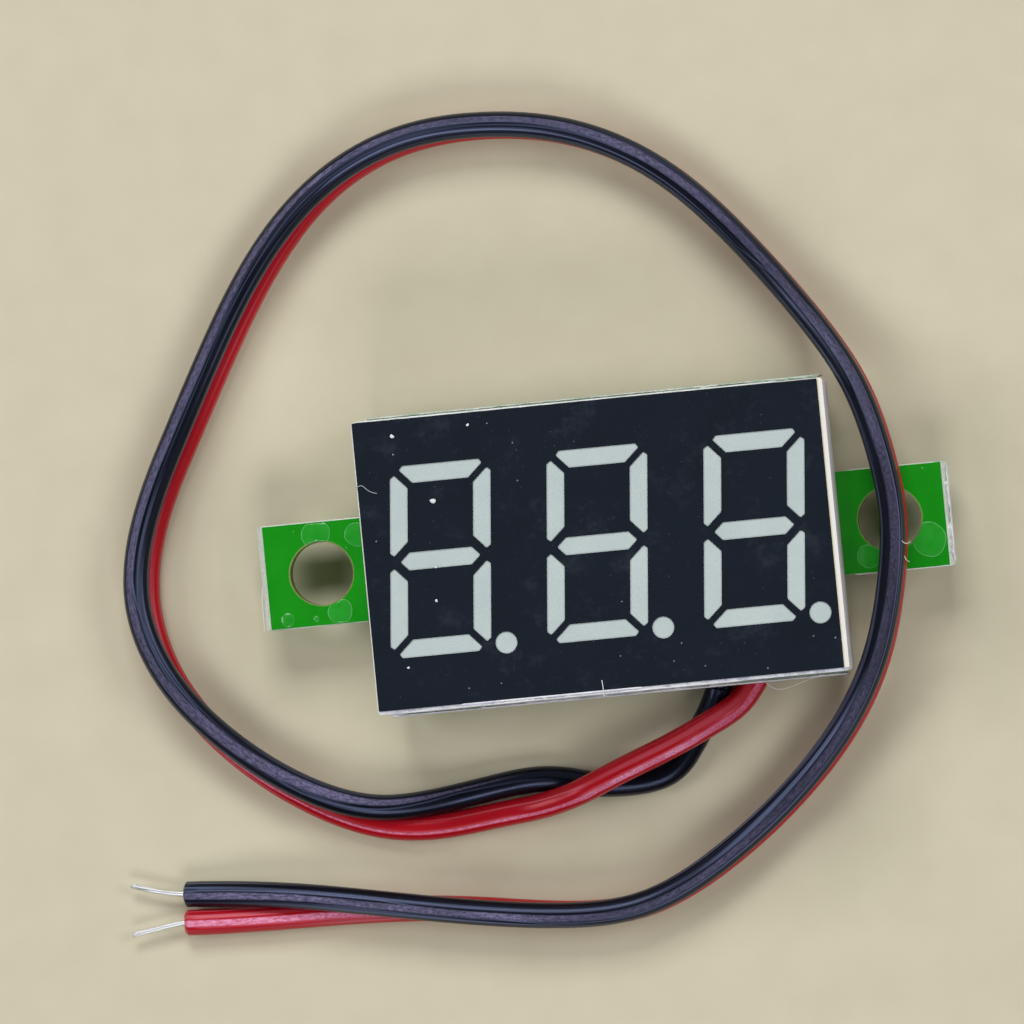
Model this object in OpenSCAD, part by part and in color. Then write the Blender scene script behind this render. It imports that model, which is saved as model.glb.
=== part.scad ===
// Three-digit LED panel voltmeter. A display module is soldered to the front of a small circuit
// board with two screw ears, and a two-wire supply lead is soldered to the board's back.
// The meter lies on its back: +Z comes out of the display's face, and X runs along the ears.

/* [Circuit board] */
// Thickness of the glass-fibre board
board_t = 1.6; // [1.2:0.1:2.4]
// How far the board stands out above and below the display
board_lip = 0.25; // [0.15:0.05:1.5]
// How far each side of the board stays inside the display
board_inset = 0.25; // [0.1:0.05:0.5]
// Height of a screw ear
ear_h = 5.06; // [4.2:0.02:7]
// Distance from the display's side to the centre of a screw hole
hole_set = 2.55; // [2.2:0.05:5]
// Distance from the centre of a screw hole to the end of its ear
ear_end = 3; // [2.4:0.1:5]
// Diameter of a screw hole
hole_d = 3.1; // [2:0.1:3.4]
// Depth of the V-shaped score along each snapped edge
score_depth = 0.5; // [0.2:0.05:0.55]
// How far a score sets the face of the board back from its snapped edge
score_set = 0.3; // [0.1:0.05:0.35]

/* [Display housing] */
// Distance from the last decimal point's edge to the display's side
side_margin = 0.51; // [0.4:0.01:2]
// Distance from a row of pins to the top or bottom of the display
row_margin = 2.02; // [1.9:0.02:4]
// Depth of the display, from the board to its face
display_t = 7.2; // [6:0.1:9]
// Wall of the display housing
display_wall = 0.8; // [0.5:0.05:1.2]
// Radius of the housing's upright corners
display_r = 0.15; // [0.1:0.05:0.6]
// How far the housing's outside is moulded to the right of the middle of its digits
shell_right = 0.1; // [0:0.01:0.15]
// How far the housing's outside is moulded below the middle of its digits
shell_down = 0.06; // [0:0.01:0.15]
// Thickness of the black ink on the face
ink_t = 0.06; // [0.04:0.01:0.15]
// Radius of the printed ink's corners
ink_r = 0.06; // [0.02:0.02:0.3]
// How far the ink stops short of the face's two sides, on average
ink_side = 0.15; // [0.1:0.01:0.3]
// How far the ink stops short of the face's top and bottom, on average
ink_end = 0.1; // [0.05:0.01:0.3]
// Height of the open back of the housing
cavity_h = 2.6; // [2.2:0.1:3.5]

/* [Digits] */
// Distance from one digit to the next
digit_pitch = 7.62; // [7.3:0.02:7.8]
// Height of a digit
digit_h = 9.26; // [8:0.02:10.5]
// Width of a digit
digit_w = 4.9; // [4.2:0.05:5.2]
// How far the digits sit above the middle of the face
digit_rise = 0.1; // [0:0.05:0.5]
// Width of one segment
segment_w = 0.86; // [0.5:0.02:1]
// Lean of the digits, in degrees
slant = 5.2; // [0:0.1:10]
// Set-back of a mitred segment end from the digit's corner
mitre_gap = 0.23; // [0.15:0.01:0.35]
// Set-back of a segment end beside the middle segment
waist_gap = 0.09; // [0.05:0.01:0.25]
// Set-back of the middle segment's points from the digit's sides
centre_gap = 0.5; // [0.4:0.02:0.8]
// Set-back of a mitred corner's cut along the segment's long edge
corner_cut = 0.36; // [0.25:0.01:0.45]
// Set-back of the same cut along the mitre
corner_tip = 0.2; // [0.1:0.01:0.25]
// Radius that rounds the segments' corners
segment_r = 0.07; // [0.03:0.01:0.12]
// Diameter of a decimal point
dot_d = 1.06; // [0.6:0.02:1.2]
// Distance of a decimal point to the right of its digit's middle
dot_x = 2.79; // [2.7:0.01:3.1]
// Distance of a decimal point below its digit's middle
dot_y = 4.35; // [3.8:0.05:4.8]
// Size of a light well at its lamp chip, as a share of its size at the face
well_taper = 0.5; // [0.35:0.05:0.9]

/* [Display inside] */
// Thickness of the display's own small board
substrate_t = 1; // [0.6:0.1:1.2]
// Resin between that board and the wells, and behind that board
resin_t = 0.4; // [0.3:0.05:0.5]
// Resin round the sides of that board
resin_side = 0.3; // [0.2:0.05:0.6]
// Side of a lamp chip
die_w = 0.26; // [0.2:0.02:0.36]
// Diameter of a display pin
pin_d = 0.5; // [0.4:0.05:0.6]
// Distance from one pin to the next
pin_pitch = 2.54; // [2.4:0.02:2.6]
// Distance between the two rows of pins
pin_rows = 10.16; // [9.6:0.02:10.4]
// Length of pin that stands out of the board's back
pin_reach = 1.6; // [1.6:0.1:2.4]
// Diameter of a pin's hole in the board
pin_hole_d = 0.9; // [0.7:0.05:1]
// Diameter of a pin's solder where it meets the board
solder_d = 1.5; // [1.2:0.05:1.7]

/* [Parts on the back] */
// Length of the microcontroller's body
chip_l = 6.5; // [6.4:0.1:7]
// Width of the microcontroller's body
chip_w = 4.4; // [3.9:0.1:4.6]
// Thickness of the microcontroller's body
chip_t = 1; // [0.8:0.05:1.2]
// Distance from one of its leads to the next
chip_pitch = 0.65; // [0.6:0.01:0.66]
// Length of the regulator's body
regulator_l = 4.5; // [4.2:0.1:4.8]
// Width of the regulator's body
regulator_w = 2.5; // [2.3:0.1:2.7]
// Thickness of the regulator's body
regulator_t = 1.45; // [1.2:0.05:1.5]
// Length of a chip resistor or chip capacitor
smd_l = 1.6; // [1.4:0.05:1.7]
// Width of a chip resistor or chip capacitor
smd_w = 0.8; // [0.6:0.05:0.9]
// Thickness of a chip resistor
resistor_t = 0.45; // [0.35:0.05:0.6]
// Thickness of a chip capacitor
capacitor_t = 0.8; // [0.5:0.05:1.1]
// Width of the calibration trimmer's base
trimmer_w = 3.6; // [3.4:0.1:4]
// Thickness of the calibration trimmer's base
trimmer_t = 1.4; // [1.2:0.05:1.5]
// Diameter of the trimmer's rotor
rotor_d = 2.4; // [2:0.1:2.8]
// Running clearance round the trimmer's rotor
rotor_gap = 0.05; // [0.03:0.01:0.1]
// Width of the rotor's cross slot
slot_w = 0.45; // [0.3:0.05:0.6]

/* [Supply lead] */
// Diameter of one insulated wire of the lead
wire_d = 1.27; // [1.1:0.01:1.3]
// Diameter of the tinned conductor in a wire
core_d = 0.32; // [0.2:0.02:0.6]

/* [Hidden] */
$fn = 40;

// Levels, from the pin ends on the table up to the face
board_z = pin_reach;
front_z = board_z + board_t;
face_z = front_z + display_t;
ink_z = face_z - ink_t;
deck_z = front_z + cavity_h;
substrate_z = deck_z - resin_t - substrate_t;
potting_z = substrate_z - resin_t;

// Sizes that follow from others
display_w = 2 * (digit_pitch + dot_x + dot_d / 2 + side_margin);
display_h = pin_rows + 2 * row_margin;
hole_pitch = display_w + 2 * hole_set;
board_l = hole_pitch + 2 * ear_end;
board_w = display_w - 2 * board_inset;
board_h = display_h + 2 * board_lip;
cavity_w = display_w - 2 * display_wall;
cavity_l = display_h - 2 * display_wall;

// The display has a pin in every place of its two rows but the last of the lower row
pin_places = [for (row = [-1, 1], i = [0:5]) if (row > 0 || i < 5)
              [(i - 2.5) * pin_pitch, row * pin_rows / 2]];

// Places of the parts on the board's back
chip_at = [-3.2, 0];
regulator_at = [9.5, 1.7];
diode_at = [9.9, -2.6];
trimmer_at = [4.1, 1.2];
resistor_x = -9.1;
resistor_pitch = 1.25;
resistors_at = [for (i = [0:6]) [resistor_x, (i - 3) * resistor_pitch]];
capacitor_x = 1.2;
capacitor_pitch = 2.6;
capacitors_at = [for (i = [-1:1]) [capacitor_x, i * capacitor_pitch]];

// How far a cut reaches past the face that it opens
over = 1;
// The same for a tapered light well
well_over = 0.2;

// Solder cones round the pins
solder_h = 1.04;
solder_lip = 0.05;

// Smaller sizes of the parts on the board's back
chip_lead_w = 0.22;
chip_lead_t = 0.12;
chip_lead_out = 1;
chip_shoulder = 0.35;
chip_foot = 0.45;
chip_bend = 0.1;
chip_rise = 0.1;
dimple_d = 0.6;
dimple_set = 0.8;
dimple_depth = 0.08;
regulator_pitch = 1.5;
regulator_lead_w = 0.45;
tab_w = 1.7;
tab_out = 0.6;
regulator_lead_t = 0.4;
regulator_lead_out = 0.75;
diode_l = 2.7;
diode_w = 1.6;
diode_t = 1.1;
diode_lead_w = 0.6;
diode_lead_t = 0.15;
diode_lead_out = 0.45;
smd_end = 0.3;
terminal_t = 0.15;
terminal_w = 0.8;
terminal_h = 0.85;
terminal_set = 1.1;
rotor_t = 0.6;
rotor_stem_d = 0.9;
rotor_stem_l = 0.35;
rotor_proud = 0.1;
slot_depth = 0.3;
slot_l = 1.7;

// Round ends of the supply lead's wires on the board's back
root_l = 1.4;
joint_set = 1;
joint_d = 1.7;
joint_h = 1.15;
joint_neck = 0.9;
tip_l = 2.9;
black_heading = 166;
red_heading = 187;

// Route of the supply lead, from the board's back to its free end. Each row is a place on the
// table, the lead's lift off the table, the side on which the red wire lies (0 straight below
// the black one, 90 beside it on the left of the way ahead, 180 on top of it, 270 on the right)
// and the distance between the middles of the two wires.
lead_route = [
    [6.3, -4.9, 0.15, 90, 1.9], [5.5, -7.7, 0.1, 100, 1.65], [4.7, -8.5, 0, 145, 1.3],
    [3.7, -9.4, 0, 180, 1.3], [3, -10, 0, 201, 1.3], [2.05, -10.7, 0, 235, 1.35],
    [1.05, -11.1, 0, 236, 1.3], [-0.6, -11.4, 0, 207, 1.3], [-1.7, -11.6, 0, 180, 1.3],
    [-2.8, -11.7, 0, 146, 1.35], [-5.1, -11.8, 0, 95, 1.4], [-8.4, -12.2, 0, 78, 1.35],
    [-12.2, -12.2, 0, 45, 1.3], [-16.1, -10.6, 0, 22, 1.3],
    [-19.6, -7.8, 0, 10, 1.3], [-22.1, -4.4, 0, -5, 1.3], [-23.1, -0.5, 0, -18, 1.3],
    [-22.3, 3.5, 0, -20, 1.3], [-20.4, 7.4, 0, -22, 1.3], [-18.2, 11.4, 0, -23, 1.3],
    [-15.6, 15.5, 0, -21, 1.3], [-12.3, 18.9, 0, -13, 1.3], [-8.4, 20.8, 0, -7, 1.3],
    [-4.1, 21.2, 0, -2, 1.3], [0.3, 20.4, 0, 0, 1.3], [4.3, 18.2, 0, 1, 1.3],
    [8.1, 14.2, 0, 1, 1.3], [11, 10.2, 0.7, 2, 1.35], [12.9, 6.8, 2.1, 3, 1.4],
    [13.9, 3.2, 3.25, 4, 1.35], [14.2, 0, 3.2, 4, 1.3], [13.8, -3.1, 3.25, 4, 1.35],
    [12.7, -6.7, 1.9, 5, 1.4], [10.8, -9.9, 0.5, 6, 1.35], [8, -12.9, 0, 6, 1.3],
    [4.2, -15.8, 0, 5, 1.3], [0, -17.7, 0, 2, 1.3], [-4.5, -17.75, 0, -3, 1.3],
    [-9, -17.1, 0, -3, 1.3], [-12.7, -16.6, 0, 15, 1.3], [-16, -16.25, 0, 40, 1.35],
    [-22.35, -15.8, 0, 90, 1.4]];

function unit(v) = v / norm(v);

// Rounds the corners of a convex outline with arcs of radius r, each of n steps
function rounded(points, r, n) = let (last = len(points)) [
    for (i = [0:last - 1])
        let (p = points[i], u = unit(points[(i + last - 1) % last] - p),
             v = unit(points[(i + 1) % last] - p), half = acos(u * v) / 2,
             middle = p + unit(u + v) * r / sin(half), from = p + u * r / tan(half) - middle,
             to = p + v * r / tan(half) - middle)
        for (k = [0:n]) middle + unit(from * (n - k) + to * k) * r];

// One segment along x: its long edge lies on y = 0 from lo to hi, its short edge below it. Its
// ends are mitred at 45 degrees and their sharp points are cut off.
function bar(lo, hi) = let (w = segment_w, cut = corner_cut, tip = corner_tip) rounded(
    [[lo + cut, 0], [hi - cut, 0], [hi - tip, -tip], [hi - w, -w], [lo + w, -w], [lo + tip, -tip]],
    segment_r, 2);

// The middle segment, pointed at both ends
function middle_bar() = let (x = digit_w / 2 - centre_gap, y = segment_w / 2) rounded(
    [[x, 0], [x - y, y], [y - x, y], [-x, 0], [y - x, -y], [x - y, -y]], segment_r, 2);

// The seven segments of an upright digit, round the digit's middle
function digit() = let (x = digit_w / 2, y = digit_h / 2, level = bar(mitre_gap - x, x - mitre_gap),
                        upright = bar(waist_gap, y - mitre_gap)) [
    [for (p = level) [p.x, y + p.y]],
    [for (p = upright) [x + p.y, p.x]],
    [for (p = upright) [x + p.y, -p.x]],
    [for (p = level) [p.x, -y - p.y]],
    [for (p = upright) [-x - p.y, -p.x]],
    [for (p = upright) [-x - p.y, p.x]],
    middle_bar()];

function lean(p) = [p.x + p.y * tan(slant), p.y];
function average(points) = [for (p = points) 1] * points / len(points);

digit_places = [for (i = [-1:1]) [i * digit_pitch, digit_rise]];
segments = [for (place = digit_places, outline = digit()) [for (p = outline) lean(p) + place]];
dots = [for (place = digit_places) place + [dot_x, -dot_y]];
lamps = concat([for (outline = segments) average(outline)], dots);

// A box of the given size that stands on level z, with its middle at a place
module block(place, size, z) {
    translate([place.x - size.x / 2, place.y - size.y / 2, z]) cube(size);
}

// A block whose upright corners are rounded, with its middle at a place
module rounded_block(place, w, h, t, r, z) {
    block(place, [w - 2 * r, h, t], z);
    block(place, [w, h - 2 * r, t], z);
    for (x = [-1, 1], y = [-1, 1])
        translate([place.x + x * (w / 2 - r), place.y + y * (h / 2 - r), z]) cylinder(h = t, r = r);
}

// Outline across a snapped edge: both faces set back by the score, the middle left rough
function scored(w, t) = let (x = w / 2, s = score_set, d = score_depth) [
    [-x, d], [-x + s, 0], [x - s, 0], [x, d], [x, t - d], [x - s, t], [-x + s, t], [-x, t - d]];

// The board is scored and snapped along its top and bottom edges and at the ear ends
module circuit_board() {
    color("forestgreen") difference() {
        union() {
            translate([-board_w / 2, 0, board_z]) rotate([90, 0, 90])
                linear_extrude(board_w) polygon(scored(board_h, board_t));
            translate([0, ear_h / 2, board_z]) rotate([90, 0, 0])
                linear_extrude(ear_h) polygon(scored(board_l, board_t));
        }
        for (x = [-1, 1]) translate([x * hole_pitch / 2, 0, board_z - over])
            cylinder(h = board_t + 2 * over, d = hole_d, $fn = 64);
        for (p = pin_places) translate([p.x, p.y, board_z - over])
            cylinder(h = board_t + 2 * over, d = pin_hole_d);
    }
}

// How large a light well is on level z, as a share of its size at the face
function well_scale(z) = 1 - (1 - well_taper) * (ink_z - z) / (ink_z - deck_z);

// The light wells between two levels: each narrows from the face down to its lamp chip
module wells(low, high) {
    for (outline = segments) let (c = average(outline)) translate([c.x, c.y, low])
        linear_extrude(high - low, scale = well_scale(high) / well_scale(low))
            polygon([for (p = outline) (p - c) * well_scale(low)]);
    for (p = dots) translate([p.x, p.y, low])
        cylinder(h = high - low, d1 = dot_d * well_scale(low), d2 = dot_d * well_scale(high));
}

// White moulded reflector: a block with a light well for every segment and an open back
module display_shell() {
    color("white") difference() {
        rounded_block([shell_right, -shell_down], display_w, display_h, ink_z - front_z, display_r, front_z);
        block([0, 0], [cavity_w, cavity_l, cavity_h + over], front_z - over);
        wells(deck_z - well_over, ink_z + well_over);
    }
}

// Black ink over the face, with a window over every segment and point
module black_face() {
    color("#1e2530") difference() {
        rounded_block([0, 0], display_w - 2 * ink_side, display_h - 2 * ink_end, ink_t, ink_r, ink_z);
        for (outline = segments) translate([0, 0, ink_z - over])
            linear_extrude(ink_t + 2 * over) polygon(outline);
        for (p = dots) translate([p.x, p.y, ink_z - over]) cylinder(h = ink_t + 2 * over, d = dot_d);
    }
}

// Cast resin: it fills the wells up to the face and holds the display's board in the housing
module segment_resin() {
    color("#b9c6c6") difference() {
        union() {
            wells(deck_z - well_over, ink_z);
            block([0, 0], [cavity_w, cavity_l, deck_z - potting_z], potting_z);
        }
        substrate_block();
        dice_blocks();
        pin_rods();
    }
}

module substrate_block() {
    block([0, 0], [cavity_w - 2 * resin_side, cavity_l - 2 * resin_side, substrate_t], substrate_z);
}

module dice_blocks() {
    for (p = lamps) block(p, [die_w, die_w, die_w], substrate_z + substrate_t);
}

module pin_rods() {
    for (p = pin_places) translate([p.x, p.y, 0]) cylinder(h = substrate_z + substrate_t, d = pin_d);
}

// The display's own board, which carries the lamp chips and holds the pins
module led_substrate() {
    color("beige") difference() {
        substrate_block();
        pin_rods();
    }
}

// One lamp chip under each segment and point
module led_dice() {
    color("crimson") dice_blocks();
}

module display_pins() {
    color("silver") pin_rods();
}

// A cone of solder round each pin, on the board's back
module pin_solder() {
    color("gainsboro") difference() {
        for (p = pin_places) translate([p.x, p.y, board_z])
            rotate([180, 0, 0]) cylinder(h = solder_h, d1 = solder_d, d2 = pin_d + 2 * solder_lip);
        pin_rods();
    }
}

// Hangs a shape, drawn standing on level 0, from the board's back at a place
module on_back(place) {
    translate([place.x, place.y, board_z]) rotate([180, 0, 0]) children();
}

// Microcontroller that measures and drives the digits
module microcontroller() {
    color("#202224") on_back(chip_at) difference() {
        block([0, 0], [chip_l, chip_w, chip_t], chip_rise);
        translate([dimple_set - chip_l / 2, chip_w / 2 - dimple_set, chip_rise + chip_t - dimple_depth])
            cylinder(h = over, d = dimple_d);
    }
}

// Ten bent leads along each long side of the microcontroller
module microcontroller_leads() {
    mid = chip_rise + chip_t / 2;
    t = chip_lead_t;
    out = chip_lead_out;
    color("silver") on_back(chip_at) for (side = [0, 180], i = [0:9])
        rotate(side) translate([(i - 4.5) * chip_pitch - chip_lead_w / 2, chip_w / 2, 0])
            rotate([90, 0, 90]) linear_extrude(chip_lead_w) polygon([
                [0, mid], [0, mid + t], [chip_shoulder, mid + t], [out - chip_foot, t], [out, t],
                [out, 0], [out - chip_foot - chip_bend, 0], [chip_shoulder - chip_bend, mid]]);
}

// Voltage regulator in a flat three-lead package
module regulator() {
    color("#26282a") on_back(regulator_at) block([0, 0], [regulator_w, regulator_l, regulator_t], 0);
}

// Three leads on one side of the regulator and a wide tab on the other
module regulator_leads() {
    x = (regulator_w + regulator_lead_out) / 2;
    color("silver") on_back(regulator_at) {
        for (i = [-1:1])
            block([-x, i * regulator_pitch], [regulator_lead_out, regulator_lead_w, regulator_lead_t], 0);
        block([(regulator_w + tab_out) / 2, 0], [tab_out, tab_w, regulator_lead_t], 0);
    }
}

// Diode that guards against a reversed supply
module diode() {
    color("#232323") on_back(diode_at) block([0, 0], [diode_w, diode_l, diode_t], 0);
}

module diode_leads() {
    y = (diode_l + diode_lead_out) / 2;
    color("silver") on_back(diode_at) for (s = [-1, 1])
        block([0, s * y], [diode_lead_w, diode_lead_out, diode_lead_t], 0);
}

// The body of a chip resistor or capacitor, between its two metal ends
module smd_body(along, t) {
    rotate(along) block([0, 0], [smd_l - 2 * smd_end, smd_w, t], 0);
}

module smd_ends(along, t) {
    rotate(along) for (s = [-1, 1])
        block([s * (smd_l - smd_end) / 2, 0], [smd_end, smd_w, t], 0);
}

// Seven resistors, one for each segment line
module resistor_bodies() {
    color("#1c1c20") for (p = resistors_at) on_back(p) smd_body(0, resistor_t);
}

module resistor_ends() {
    color("silver") for (p = resistors_at) on_back(p) smd_ends(0, resistor_t);
}

// Three smoothing capacitors
module capacitor_bodies() {
    color("#b08a5a") for (p = capacitors_at) on_back(p) smd_body(90, capacitor_t);
}

module capacitor_ends() {
    color("silver") for (p = capacitors_at) on_back(p) smd_ends(90, capacitor_t);
}

// Calibration trimmer: a base with a round pocket and a bore for its rotor's stem
module trimmer_base() {
    color("#e8e4d8") on_back(trimmer_at) difference() {
        block([0, 0], [trimmer_w, trimmer_w, trimmer_t], 0);
        translate([0, 0, pocket_floor()])
            cylinder(h = trimmer_t, d = rotor_d + 2 * rotor_gap);
        translate([0, 0, pocket_floor() - rotor_stem_l - rotor_gap])
            cylinder(h = trimmer_t, d = rotor_stem_d + 2 * rotor_gap);
    }
}

function pocket_floor() = trimmer_t + rotor_proud - rotor_t - rotor_gap;

module trimmer_terminals() {
    y = (trimmer_w + terminal_t) / 2;
    color("silver") on_back(trimmer_at) {
        for (x = [-terminal_set, terminal_set])
            block([x, y], [terminal_w, terminal_t, terminal_h], 0);
        block([0, -y], [terminal_w, terminal_t, terminal_h], 0);
    }
}

// The trimmer's rotor, turned with a screwdriver in its cross slot
module trimmer_rotor() {
    floor_z = pocket_floor() + rotor_gap;
    color("gold") on_back(trimmer_at) difference() {
        union() {
            translate([0, 0, floor_z]) cylinder(h = rotor_t, d = rotor_d);
            translate([0, 0, floor_z - rotor_stem_l - rotor_gap])
                cylinder(h = rotor_stem_l + rotor_t, d = rotor_stem_d);
        }
        for (turn = [0, 90]) rotate(turn)
            block([0, 0], [slot_l, slot_w, over], floor_z + rotor_t - slot_depth);
    }
}

// Middle of one wire of the lead (side is 1 for black and -1 for red) at row i of the route
function ahead(i) = unit([for (k = [0, 1])
    lead_route[min(i + 1, len(lead_route) - 1)][k] - lead_route[max(i - 1, 0)][k]]);
function wire_point(i, side) =
    let (row = lead_route[i], a = ahead(i), half = row[4] / 2, up = half * cos(row[3]),
         out = half * sin(row[3]))
    [row[0] + side * out * a.y, row[1] - side * out * a.x,
     row[2] + wire_d / 2 + abs(up) + side * up];
function wire_path(side) = [for (i = [0:len(lead_route) - 1]) wire_point(i, side)];

// A round tube swept along a path, with one ring of sides points at each of its points
module swept_tube(path, d, sides) {
    last = len(path) - 1;
    rings = [for (i = [0:last])
        let (a = unit(path[min(i + 1, last)] - path[max(i - 1, 0)]),
             across = unit(cross([0, 0, 1], a)), up = cross(a, across))
        for (k = [0:sides - 1]) let (turn = 360 * k / sides)
            path[i] + (across * cos(turn) + up * sin(turn)) * d / 2];
    walls = [for (i = [0:last - 1], k = [0:sides - 1])
        let (j = i * sides + k, n = i * sides + (k + 1) % sides) [j, j + sides, n + sides, n]];
    caps = [[for (k = [0:sides - 1]) k], [for (k = [sides - 1:-1:0]) last * sides + k]];
    polyhedron(rings, concat(walls, caps));
}

module black_wire() {
    color("#14161c") swept_tube(wire_path(1), wire_d, 8);
}

module red_wire() {
    color("#a81c28") swept_tube(wire_path(-1), wire_d, 8);
}

// A straight length of bare conductor, from a wire's end towards a heading
module bare_core(start, heading, length) {
    translate(start) rotate([0, 90, heading]) cylinder(h = length, d = core_d);
}

function root_start(side) = wire_point(0, side);
function tip_start(side) = wire_point(len(lead_route) - 1, side);
function heading_back() = atan2(-ahead(0).y, -ahead(0).x);
function joint_place(side) = root_start(side) + [cos(heading_back()), sin(heading_back()), 0] * joint_set;

// The bared ends that are soldered to the board
module black_root() {
    color("silver") bare_core(root_start(1), heading_back(), root_l);
}

module red_root() {
    color("silver") bare_core(root_start(-1), heading_back(), root_l);
}

// A cone of solder that holds each bared end to the board's back
module wire_solder() {
    color("gainsboro") difference() {
        for (side = [-1, 1]) let (p = joint_place(side)) translate([p.x, p.y, board_z])
            rotate([180, 0, 0]) cylinder(h = joint_h, d1 = joint_d, d2 = joint_neck);
        black_root();
        red_root();
    }
}

// The bared and tinned free ends of the lead
module black_tip() {
    color("silver") bare_core(tip_start(1), black_heading, tip_l);
}

module red_tip() {
    color("silver") bare_core(tip_start(-1), red_heading, tip_l);
}

circuit_board();
display_shell();
black_face();
segment_resin();
led_substrate();
led_dice();
display_pins();
pin_solder();
microcontroller();
microcontroller_leads();
regulator();
regulator_leads();
diode();
diode_leads();
resistor_bodies();
resistor_ends();
capacitor_bodies();
capacitor_ends();
trimmer_base();
trimmer_terminals();
trimmer_rotor();
wire_solder();
black_root();
red_root();
black_wire();
red_wire();
black_tip();
red_tip();
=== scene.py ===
"""Looks of a three-digit LED panel voltmeter with its red and black supply lead.

The meter lies on its back on a pale table, +Z out of its face. Lengths in this file are in
millimetres until a mesh is made, where they turn into metres.
"""
import math

import bpy
import numpy as np
from mathutils import Matrix, Vector


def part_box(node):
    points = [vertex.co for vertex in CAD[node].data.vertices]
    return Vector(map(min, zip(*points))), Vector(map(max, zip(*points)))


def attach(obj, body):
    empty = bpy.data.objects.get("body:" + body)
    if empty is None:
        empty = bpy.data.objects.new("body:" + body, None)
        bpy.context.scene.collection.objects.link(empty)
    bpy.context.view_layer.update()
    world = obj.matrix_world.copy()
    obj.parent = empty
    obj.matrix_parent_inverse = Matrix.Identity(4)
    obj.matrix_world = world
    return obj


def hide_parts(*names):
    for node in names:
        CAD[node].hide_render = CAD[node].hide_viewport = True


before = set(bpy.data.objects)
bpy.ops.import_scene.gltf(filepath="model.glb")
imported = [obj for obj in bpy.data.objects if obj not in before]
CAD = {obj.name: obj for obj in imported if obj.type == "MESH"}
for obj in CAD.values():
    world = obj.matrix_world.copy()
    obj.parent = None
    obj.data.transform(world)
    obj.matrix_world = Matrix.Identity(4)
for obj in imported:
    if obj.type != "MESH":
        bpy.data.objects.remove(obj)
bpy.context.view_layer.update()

MM = 0.001


# ------------------------ sizes taken from the frame

def box_mm(node):
    """Lowest and highest corner of a node, in millimetres."""
    low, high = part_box(node)
    return np.array(low) / MM, np.array(high) / MM


BOARD_LOW, BOARD_HIGH = box_mm("circuit_board")
SHELL_LOW, SHELL_HIGH = box_mm("display_shell")
INK_LOW, INK_HIGH = box_mm("black_face")
BACK_Z, FRONT_Z = BOARD_LOW[2], BOARD_HIGH[2]
FACE_Z = INK_HIGH[2]
EAR_HALF = 2.53
HOLE_X = 14.0
HOLE_R = 1.55


# ------------------------ supply lead: route and wires

# Wire: diameter, points round it, and rings of its trimmed end. Lip beside the torn strip: height
# as a share of the radius, place in half widths of the strip, and twice its width squared
WIRE_D, WIRE_SIDES, END_RINGS = 1.27, 48, 4
LIP_HIGH, LIP_AT, LIP_WIDE = 0.006, 1.15, 0.02
# Route of the lead from the board's back to its free end: place on the table, lift off it,
# side of the red wire (degrees from straight below the black one, 90 on the left of the way
# ahead) and the distance between the middles of the two wires
LEAD_ROUTE = [
    [6.3, -4.9, 0.15, 90, 1.9], [5.5, -7.7, 0.1, 100, 1.65], [4.7, -8.5, 0, 145, 1.3],
    [3.7, -9.4, 0, 180, 1.3], [3, -10, 0, 201, 1.3], [2.05, -10.7, 0, 235, 1.35],
    [1.05, -11.1, 0, 236, 1.3], [-0.6, -11.4, 0, 207, 1.3], [-1.7, -11.6, 0, 180, 1.3],
    [-2.8, -11.7, 0, 146, 1.35], [-5.1, -11.8, 0, 95, 1.4], [-8.4, -12.2, 0, 78, 1.35],
    [-12.2, -12.2, 0, 45, 1.3], [-16.1, -10.6, 0, 22, 1.3],
    [-19.6, -7.8, 0, 10, 1.3], [-22.1, -4.4, 0, -5, 1.3], [-23.1, -0.5, 0, -18, 1.3],
    [-22.3, 3.5, 0, -20, 1.3], [-20.4, 7.4, 0, -22, 1.3], [-18.2, 11.4, 0, -23, 1.3],
    [-15.6, 15.5, 0, -21, 1.3], [-12.3, 18.9, 0, -13, 1.3], [-8.4, 20.8, 0, -7, 1.3],
    [-4.1, 21.2, 0, -2, 1.3], [0.3, 20.4, 0, 0, 1.3], [4.3, 18.2, 0, 1, 1.3],
    [8.1, 14.2, 0, 1, 1.3], [11, 10.2, 0.7, 2, 1.35], [12.9, 6.8, 2.1, 3, 1.4],
    [13.9, 3.2, 3.25, 4, 1.35], [14.2, 0, 3.2, 4, 1.3], [13.8, -3.1, 3.25, 4, 1.35],
    [12.7, -6.7, 1.9, 5, 1.4], [10.8, -9.9, 0.5, 6, 1.35], [8, -12.9, 0, 6, 1.3],
    [4.2, -15.8, 0, 5, 1.3], [0, -17.7, 0, 2, 1.3], [-4.5, -17.75, 0, -3, 1.3],
    [-9, -17.1, 0, -3, 1.3], [-12.7, -16.6, 0, 15, 1.3], [-16, -16.25, 0, 40, 1.35],
    [-22.35, -15.8, 0, 90, 1.4]]
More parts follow.
